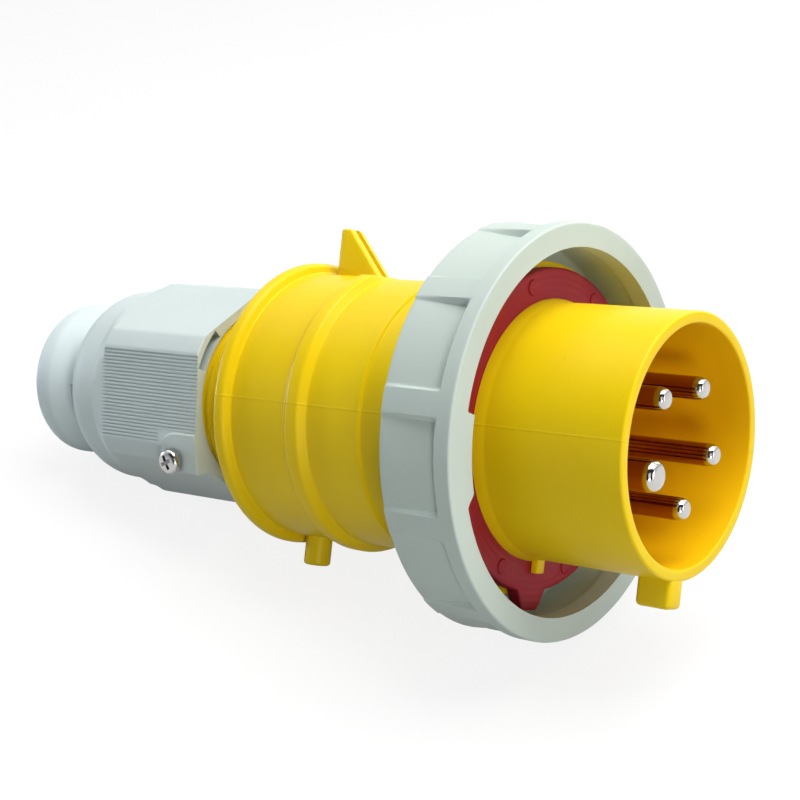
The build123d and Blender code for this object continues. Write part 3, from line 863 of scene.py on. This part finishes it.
def ring_rule(board, x, radius, angle, given):
    """Sinks the panels between the ribs and lifts the lugs in the mouth."""
    pitch = 2 * pi / given["Rib count"]
    turn_on = angle - radians(rib_first) + pitch / 2 + 2 * pi
    off = (turn_on.math("MODULO", pitch) - pitch / 2).math("ABSOLUTE") * ring_radius
    panel = board.ramp(off, rib_crest / 2, rib_foot / 2)
    behind = board.ramp(x, slope_front, slope_rear)
    depth = board.ramp(x, slope_rear, ring_rear, given["Front depth"], given["Rear depth"])
    outer = board.ramp(radius, *outer_wall)
    radius = radius - (panel * depth).math("MAXIMUM", least_relief) * behind * outer
    for start in lug_starts:
        past = (angle - radians(start) + 2 * pi).math("MODULO", 2 * pi)
        upper = board.step(past, 0.0, radians(0.6))
        lower = 1 - board.step(past, radians(lug_sweep - 4), radians(lug_sweep))
        inner = 1 - board.step(radius, mouth_radius + 0.1, mouth_radius + 0.4)
        front = board.step(x, *lug_rear)
        radius = radius - upper * lower * inner * front * given["Lug height"]
    return radius


ring_spin = spinning_tree("spin_ring", ring_rule, ["Rib count", "Front depth", "Rear depth", "Lug height"])
print("the ring's tree has", len(ring_spin.nodes), "nodes")

# %% Ring
ring_bore = 30.7
web_front = -43.8
recess_radius = 41.3
recess_front = ring_front - 4.4
front_depth = 1.8
rear_depth = 0.4
lug_height = 2.5

ring = turned("ring", [
    (ring_front, mouth_radius),
    (ring_front, ring_radius, 0.5),
    (slope_front, ring_radius),
    (slope_front - 0.4, ring_radius),
    (slope_rear, ring_radius),
    (ring_rear, ring_radius, 0.6),
    (ring_rear, ring_bore, 0.3),
    (web_front, ring_bore, 0.3),
    (web_front, recess_radius, 1.0),
    (recess_front, recess_radius),
    (recess_front, mouth_radius),
], ring_grey, steps=880, tree=ring_spin, spacing=0.8,
    rib_count=rib_count, front_depth=front_depth, rear_depth=rear_depth, lug_height=lug_height)
finished("grey_locking_ring", ring, ring_grey, "ring", ["locking_ring"])

# %% [markdown]
# ## The rear housing
# The yellow housing closes the plug behind the ring. Two rounded beads stiffen it, and its neck carries the
# thread for the nut. The crown is flat where the fin stands, which is the rule
# min(radius, height / sin(angle)). A thread can be swept along a helix, but then it has to be joined to the
# neck. Here it is a wave whose phase turns with the angle, so neck and thread are one skin.

# %% The rule of the housing
crown_height = 31.0
crown_front = (-77.0, -76.9)
crown_rear = (-99.6, -99.5)
thread_pitch = 3.0
thread_depth = 1.1
thread_root = 20.9
thread_front = (-109.4, -108.2)
thread_rear = (-149.0, -147.5)
neck_inside = (20.5, 20.7)
neck_outside = (21.2, 21.6)


def housing_rule(board, x, radius, angle, given):
    """Flattens the crown and winds the thread round the neck."""
    upward = angle.math("SINE").math("MAXIMUM", 0.2)
    flat = radius.math("MINIMUM", given["Crown height"] / upward)
    on_crown = board.step(x, *crown_rear) * (1 - board.step(x, *crown_front))
    radius = radius + (flat - radius) * on_crown * board.step(radius, 29.5, 30.0)
    phase = (x / given["Thread pitch"] + angle / (2 * pi) + 100.0).math("FRACT")
    wave = (phase - 0.5).math("ABSOLUTE") * 2
    crest = board.step(wave, 0.32, 0.72)
    fade = (1 - board.step(x, *thread_front)) * board.step(x, *thread_rear)
    on_neck = board.step(radius, *neck_inside) * (1 - board.step(radius, *neck_outside))
    return radius + crest * fade * on_neck * given["Thread depth"]


housing_spin = spinning_tree("spin_housing", housing_rule, ["Crown height", "Thread pitch", "Thread depth"])
print("the housing's tree has", len(housing_spin.nodes), "nodes")

# %% Housing
journal_radius = 30.4
middle_radius = 31.2
waist_radius = 31.7
front_bead_radius = 33.2
rear_bead_radius = 34.0
collar_front = -47.3
collar_rear = -50.3
neck_front = -107.3
neck_end = -150.0
hollow_radius = 28.0
hollow_rear = -104.1
spigot_seat = 28.45
seat_rear = -49.8
neck_bore = 17.9
seal_seat = 16.4
seal_stop = -136.0
cable_hole = 12.0
thread_row = 0.4
thread_rows = 103

crown_start = [(x, middle_radius) for x in reversed(crown_front)]
crown_end = [(x, waist_radius) for x in reversed(crown_rear)]
neck = [(thread_front[1] - thread_row * step, thread_root) for step in range(thread_rows)]
housing = turned("housing", [
    (housing_front, spigot_seat),
    (housing_front, journal_radius, 0.3),
    (collar_front, journal_radius),
    (collar_front, shoulder_radius, 0.5),
    (collar_rear, shoulder_radius, 0.5),
    (collar_rear, journal_radius, 0.4),
    (-64.2, journal_radius, 0.3),
    (-64.6, 31.3, 0.4),
    (-66.8, middle_radius),
    *crown_start,
    (-79.2, middle_radius, 0.6),
    (-80.5, front_bead_radius, 1.1),
    (-83.8, front_bead_radius, 1.3),
    (-85.4, waist_radius, 0.9),
    *crown_end,
    (-101.7, waist_radius, 0.5),
    (-102.3, rear_bead_radius, 1.5),
    (-105.3, rear_bead_radius, 1.5),
    (neck_front, 28.5, 0.8),
    (neck_front, thread_root, 0.6),
    *neck,
    (neck_end, thread_root, 0.4),
    (neck_end, seal_seat),
    (seal_stop, seal_seat),
    (seal_stop, cable_hole),
    (-132.0, cable_hole),
    (-126.0, neck_bore),
    (hollow_rear, neck_bore),
    (hollow_rear, hollow_radius, 1.2),
    (seat_rear, hollow_radius),
    (seat_rear, spigot_seat),
], yellow, steps=288, tree=housing_spin, spacing=2.5,
    crown_height=crown_height, thread_pitch=thread_pitch, thread_depth=thread_depth)
print("housing before its fin and peg:", len(housing.polygons), "faces")

# %% [markdown]
# ## Fin and peg
# The fin stands on the flat crown with a groove down its slope, and the peg is a plain stub opposite it.
# Neither is round about the plug's axis, so a rule of the spin would be a poor way to make them. The fin is
# a flat outline made solid, the peg is turned about its own axis, and both are joined on.

# %% Fin and peg
fin_outline = [(-99.3, 29.0), (-99.3, 42.6), (-96.5, 42.6), (-85.8, 31.0), (-84.0, 29.0)]
fin_half_width = 2.5
fin_angle = 90
groove_outline = [(-87.5, 31.1), (-98.2, 42.7), (-94.0, 47.0), (-80.0, 31.1)]
groove_half_width = 0.9
peg_at = -97.6
peg_foot = 29.0
peg_end = 38.6
peg_radius = 3.2


def prism(corners, half_width, bevel, axis_turn):
    """A flat outline of (x, height) corners made solid, with rounded edges."""
    form = bmesh.new()
    sides = []
    for side in (-half_width, half_width):
        sides.append([form.verts.new((x, height, side)) for x, height in corners])
    count = len(corners)
    form.faces.new(sides[0])
    form.faces.new(reversed(sides[1]))
    for index in range(count):
        after = (index + 1) % count
        form.faces.new((sides[0][after], sides[0][index], sides[1][index], sides[1][after]))
    bmesh.ops.recalc_face_normals(form, faces=form.faces)
    if bevel:
        rounded(form, form.edges[:], bevel, 3)
    return moved(form_mesh(form), round_axis(axis_turn))


fin = prism(fin_outline, fin_half_width, 0.6, fin_angle)
fin = combined(fin, prism(groove_outline, groove_half_width, 0, fin_angle), "DIFFERENCE")
housing = combined(housing, fin)
peg_corners = [(peg_foot, 0), (peg_end, 0), (peg_end, peg_radius, 0.8), (peg_foot, peg_radius)]
peg = turned("peg", peg_corners, yellow, steps=64)
upright = Matrix.Translation((peg_at, 0, 0)) @ Matrix.Rotation(-pi / 2, 4, "Y")
peg = moved(peg, upright @ Matrix.Scale(-1, 4, (1, 0, 0)))
housing = combined(housing, peg)
finished("yellow_rear_housing", housing, yellow, "plug", ["rear_housing"])

# %% [markdown]
# ## The gland nut
# The grey nut screws on the neck and squeezes the seal round the cable. Its body could start from a
# six-sided cylinder, but the hexagon runs out into a cone and a dome, and a rule does that by itself:
# min(radius, half the flats / cos(angle from the nearest flat)). Five corners have a pocket in the front
# face, and the sixth has the screw boss.

# %% Nut
half_flats = 24.5
facet_angle = 186.0
nut_front = -120.0
corner_radius = 27.0
hexagon_end = -152.3
cone_end = -156.8
dome_start = -160.5
dome_length = 8.2
dome_rise = 6.9
dome_end_radius = 17.6
nut_rear = -168.7
nut_mouth = 22.4
nut_bore = 20.95
bore_front = -121.5
sleeve_seat = 20.05
seat_front = -150.05
nut_shelf = -163.5
outer_skin = (22.0, 22.3)


def hexagon_rule(board, x, radius, angle, given):
    """Cuts the outside to six flats."""
    sixth = pi / 3
    turn_on = angle - radians(facet_angle) + sixth / 2 + 2 * pi
    off = turn_on.math("MODULO", sixth) - sixth / 2
    flat = radius.math("MINIMUM", given["Half flats"] / off.math("COSINE"))
    outer = board.step(radius, *outer_skin)
    return radius + (flat - radius) * outer


def dome_corners():
    """The quarter ellipse at the nut's rear end."""
    steps = 12
    arcs = [pi / 2 * step / steps for step in range(steps + 1)]
    return [(dome_start - dome_length * sin(arc), dome_end_radius + dome_rise * cos(arc)) for arc in arcs]


hexagon_spin = spinning_tree("spin_nut", hexagon_rule, ["Half flats"])
nut = turned("nut", [
    (nut_front, nut_mouth),
    (nut_front, corner_radius, 0.5),
    (hexagon_end, corner_radius, 0.8),
    (cone_end, half_flats, 1.2),
    *dome_corners(),
    (nut_rear, seal_seat),
    (nut_shelf, seal_seat),
    (nut_shelf, sleeve_seat),
    (seat_front, sleeve_seat),
    (seat_front, nut_bore),
    (bore_front, nut_bore),
], nut_grey, steps=288, tree=hexagon_spin, spacing=2.0, half_flats=half_flats)
print("plain nut:", len(nut.polygons), "faces")

# %% Pockets in the nut's front
past_front = -119.0
pocket_rear = -129.0
pocket_radii = (22.9, 25.2)
pocket_sweep = 24

for corner in range(1, 6):
    pocket_start = facet_angle + 30 + 60 * corner - pocket_sweep / 2
    pocket = sector((pocket_rear, past_front), pocket_radii, pocket_start, pocket_sweep)
    nut = combined(nut, pocket, "DIFFERENCE")
print("nut with pockets:", len(nut.polygons), "faces")

# %% [markdown]
# ## The screw boss
# The boss is a block whose rear corners are rounded like a tongue. The block is bored like the nut before it
# is joined, so that the thread's bore stays clear.

# %% Boss
boss_angle = 195
boss_height = 25.95
boss_rear = -131.9
boss_foot = 15.0
boss_sides = (4.2, 14.1)
bore_rear = -140.0

boss_form = bmesh.new()
boss_form.from_mesh(bar((boss_rear, boss_foot, boss_sides[0]), (nut_front, boss_height, boss_sides[1])))
at_rear = [edge for edge in boss_form.edges if all(vert.co.x < boss_rear + 0.1 for vert in edge.verts)]
upright_edges = [edge for edge in at_rear if abs(edge.verts[0].co.y - edge.verts[1].co.y) > 1]
rounded(boss_form, upright_edges, 4.8, 8)
top_edges = [edge for edge in boss_form.edges if all(vert.co.y > boss_height - 0.1 for vert in edge.verts)]
rounded(boss_form, top_edges, 0.5, 3)
boss = moved(form_mesh(boss_form), round_axis(boss_angle))
bore = turned("bore", [
    (past_front, 0),
    (past_front, nut_mouth),
    (nut_front, nut_mouth),
    (bore_front, nut_bore),
    (bore_rear, nut_bore),
    (bore_rear, 0),
], nut_grey, steps=288)
boss = combined(boss, bore, "DIFFERENCE")
nut = combined(nut, boss)
print("nut with its boss:", len(nut.polygons), "faces")

# %% [markdown]
# ## The grip grooves
# Three flats are cut with fine grooves. An image of grooves would be flat at the edge of the nut, so they are
# real: one long cutter is copied side by side along a line, and the copies are taken away by a boolean. On
# the flat beside the boss, a block shortens those cutters that would run into it.

# %% Grip grooves
groove_count = 25
groove_pitch = 0.88
cutter_half_width = 0.18
cutter_outline = [(past_front, 24.2), (-152.0, 24.2), (-153.4, 24.9), (past_front, 24.9)]
grooved_flats = (0, 120, 240)
boss_clearance = ((-132.4, 20.0, 7.8), (-118.0, 28.0, 14.0))


def side_by_side(board, index, given):
    """Places in a row across one flat, with the middle one on the flat's middle."""
    side = (index - (given["Count"] - 1) / 2) * given["Pitch"]
    return board.combine(0.0, 0.0, side)


grooves = copies_tree("grip_grooves", ["Pitch"], side_by_side)
for facet in grooved_flats:
    cutter = prism(cutter_outline, cutter_half_width, 0, 0)
    inputs = {"Count": groove_count, "Pitch": groove_pitch, "Material": nut_grey}
    cutters = run_tree(grooves, cutter, inputs)
    if facet == 0:
        cutters = combined(cutters, bar(*boss_clearance), "DIFFERENCE")
    nut = combined(nut, moved(cutters, round_axis(facet_angle + facet)), "DIFFERENCE")
finished("grey_gland_nut", nut, nut_grey, "plug", ["gland_nut"])

# %% [markdown]
# ## The lock screw
# A screw with a pan head and a cross recess stops the nut from working loose. It is turned about its own
# axis, and the recess is two crossed bars cut into the head.

# %% Lock screw
screw_place = Matrix.Translation((-127.0, 0, 10.9))
lay_upright = Matrix.Rotation(pi / 2, 4, "Z")
shank_end = 20.5
shank_radius = 1.75
head_seat = 26.3
head_radius = 3.1
head_edge = 28.9
head_top = 29.15
cross_turn = Matrix.Rotation(radians(25), 4, "Y")
cross_floor = 27.5
cross_reach = 1.8
cross_half_width = 0.45

head = turned("screw", [
    (shank_end, 0),
    (shank_end, shank_radius),
    (head_seat, shank_radius),
    (head_seat, head_radius, 0.25),
    (head_edge, head_radius, 1.3),
    (head_top, 0),
], zinc, steps=96)
head = moved(head, lay_upright)
for long, short in ((cross_reach, cross_half_width), (cross_half_width, cross_reach)):
    slot_bar = bar((-long, cross_floor, -short), (long, 30.0, short))
    head = combined(head, moved(slot_bar, cross_turn), "DIFFERENCE")
head = moved(head, round_axis(boss_angle) @ screw_place)
finished("bright_lock_screw", head, zinc, "plug", ["gland_lock_screw"])

# %% [markdown]
# ## The clamp sleeve
# Behind the nut the sleeve flares to a soft bell, so that the cable bends without a kink. Two slots are cut
# in its neck. The bell could be modelled from a curve, but its flare is two roundings of one turned outline.

# %% Sleeve
sleeve_front = -150.0
sleeve_radius = 16.1
sleeve_bore = 12.5
grip_bore = 9.5
grip_end = -154.0
rim_front = -160.1
rim_radius = 20.0
flare_start = -175.0
flare_end = -179.8
bell_radius = 19.85
bell_rear = -185.0
slot_ends = (-174.4, -172.2)
slot_radii = (11.5, 17.5)
slot_starts = (188, 8)
slot_sweep = 47

sleeve = turned("sleeve", [
    (sleeve_front, grip_bore),
    (sleeve_front, sleeve_radius),
    (rim_front, sleeve_radius),
    (rim_front, rim_radius, 0.4),
    (nut_shelf, rim_radius, 0.4),
    (nut_shelf, sleeve_radius),
    (flare_start, sleeve_radius, 3.5),
    (flare_end, bell_radius, 3.5),
    (bell_rear, bell_radius, 2.4),
    (bell_rear, 16.35, 1.2),
    (-177.0, sleeve_bore, 5.0),
    (grip_end, sleeve_bore),
    (grip_end, grip_bore),
], sleeve_grey, steps=224, spacing=1.5)
for start in slot_starts:
    sleeve = combined(sleeve, sector(slot_ends, slot_radii, start, slot_sweep), "DIFFERENCE")
finished("grey_clamp_sleeve", sleeve, sleeve_grey, "plug", ["clamp_sleeve"])

# %% [markdown]
# ## Hidden pieces
# The insulator with its cover and screws, the seals and the washer are inside the plug. The camera does not
# see them, so they keep their construction shape and only get a finish that such pieces have.

# %% Finishes of the hidden pieces
hidden = {
    "contact_carrier": black_moulding,
    "carrier_cover": black_moulding,
    "carrier_screw": zinc,
    "terminal_screws": zinc,
    "housing_seal": black_rubber,
    "seal_ring": black_rubber,
    "seal_insert": black_rubber,
    "thrust_washer": white_moulding,
}
for name, material in hidden.items():
    node = nodes[name]
    for slot_on_node in node.material_slots:
        slot_on_node.material = material
print("hidden pieces with a finish:", len(hidden))

# %% [markdown]
# ## The floor
# A catalogue picture stands on a sweep of white paper. More light would make paper white, but it would bleach
# the plug too. So the paper glows by itself where the camera looks at it, and only a part of it stays
# ordinary paper, which keeps the plug's shadow. Light that bounces from it to the plug meets a darker grey,
# and polished metal sees it a little brighter.

# %% Floor
floor_reach = 3.0
ray_kinds = ("Camera", "Glossy", "Transmission")
dim_paper = (0.3, 0.3, 0.3)
pale_paper = (0.9, 0.9, 0.9)
direct_glow = 0.85
passed_glow = 0.3

floor_form = bmesh.new()
bmesh.ops.create_grid(floor_form, x_segments=1, y_segments=1, size=floor_reach)
floor_mesh = bpy.data.meshes.new("floor")
floor_form.to_mesh(floor_mesh)
floor_form.free()
floor = bpy.data.objects.new("floor", floor_mesh)
bpy.context.scene.collection.objects.link(floor)
floor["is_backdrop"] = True


def seen_rays(board):
    """1 for rays from the camera, and 1 for rays that a shiny or clear surface sends on."""
    path = board.add("ShaderNodeLightPath").socket.node
    direct, mirrored, refracted = (Wire(board, path.outputs[f"Is {ray} Ray"]) for ray in ray_kinds)
    return direct, (mirrored + refracted).math("MINIMUM", 1.0)


paper, board, shader = surface("white_paper")
direct, passed_on = seen_rays(board)
pale = (direct + passed_on).math("MINIMUM", 1.0)
board.feed(shader.inputs["Base Color"], board.mix(pale, dim_paper, pale_paper))
shader.inputs["Roughness"].default_value = 0.9
glow = board.add("ShaderNodeEmission", None, {"Color": (1, 1, 1, 1), "Strength": 1.0})
share = (direct * direct_glow + passed_on * passed_glow).math("MINIMUM", direct_glow)
mixed = board.add("ShaderNodeMixShader", None, {0: share, 1: Wire(board, shader.outputs[0]), 2: glow})
paper.node_tree.links.new(mixed.socket, paper.node_tree.nodes["Material Output"].inputs[0])
floor_mesh.materials.append(paper)
print("floor of", 2 * floor_reach, "m")

# %% [markdown]
# ## The lamps
# Nine soft lamps stand in for a photographer's tent. One large lamp above gives most of the light. The others
# fill from the front, the rear and the far side, and small weak ones stand near the camera. Fewer and larger
# lamps would be simpler, but then the front edges and the undersides lose their shape. The two lowest lamps
# are faintly blue, as light from a window is.

# %% Lamps
def lamp(name, place, aim, size, power, colour=(1, 1, 1), spread=180):
    """A soft square lamp that looks at a point; spread is its beam's full angle in degrees."""
    data = bpy.data.lights.new(name, "AREA")
    data.size = size
    data.energy = power
    data.color = colour
    data.spread = radians(spread)
    item = bpy.data.objects.new(name, data)
    item.location = place
    item.rotation_euler = (Vector(place) - Vector(aim)).to_track_quat("Z", "Y").to_euler()
    bpy.context.scene.collection.objects.link(item)
    return item


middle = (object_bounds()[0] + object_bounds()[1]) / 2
lamp("top_lamp", (0.12, 0.13, 0.75), middle, 0.55, 6.5)
lamp("front_top_lamp", (0.45, 0.3, 0.65), middle, 0.5, 1.7)
lamp("rear_top_lamp", (-0.45, 0.1, 0.65), middle, 0.5, 0.9)
lamp("far_lamp", (0.0, 0.8, 0.4), middle, 0.5, 2.0)
lamp("front_lamp", (0.8, 0.15, 0.18), middle, 0.4, 1.7)
lamp("camera_side_lamp", (0.45, -0.4, 0.35), middle, 0.3, 0.35)
lamp("near_lamp", (0.5, -0.45, 0.1), middle, 0.15, 1.05)
lamp("near_low_lamp", (-0.2, -0.5, 0.06), middle, 0.4, 0.28, (0.75, 0.88, 1.0))
lamp("rear_low_lamp", (-0.5, -0.12, 0.05), (-0.085, 0.0, 0.02), 0.15, 0.12, (0.8, 0.9, 1.0), spread=60)
print("lamps:", len(bpy.data.lights))

# %% [markdown]
# ## The room
# Behind the plug the room is white, as the picture's background is. On the side where the photographer
# stands it is dark, at a fixed direction in the room. Without that dark side polished metal has nothing dark
# to mirror, and it looks like white paint. The room hardly lights the plug: the lamps do that.

# %% Room
dark_side = (0.63, -0.77, 0.0)
dark_edge = (-0.1, 0.3)
room_light = 0.03

world = bpy.data.worlds.new("studio")
bpy.context.scene.world = world
world.use_nodes = True
board = Board(world.node_tree)
direct, passed_on = seen_rays(board)
direction = board.add("ShaderNodeTexCoord", output=0)
facing = board.add("ShaderNodeVectorMath", {"operation": "DOT_PRODUCT"}, {0: direction, 1: dark_side}, 1)
backdrop = 1 - board.step(facing, *dark_edge)
seen = (direct + passed_on * backdrop).math("MINIMUM", 1.0)
background = world.node_tree.nodes["Background"]
background.inputs["Color"].default_value = (1, 1, 1, 1)
board.feed(background.inputs["Strength"], seen * (1 - room_light) + room_light)
bpy.context.scene.view_settings.view_transform = "Standard"
print("the room gives the plug", room_light, "of its white")
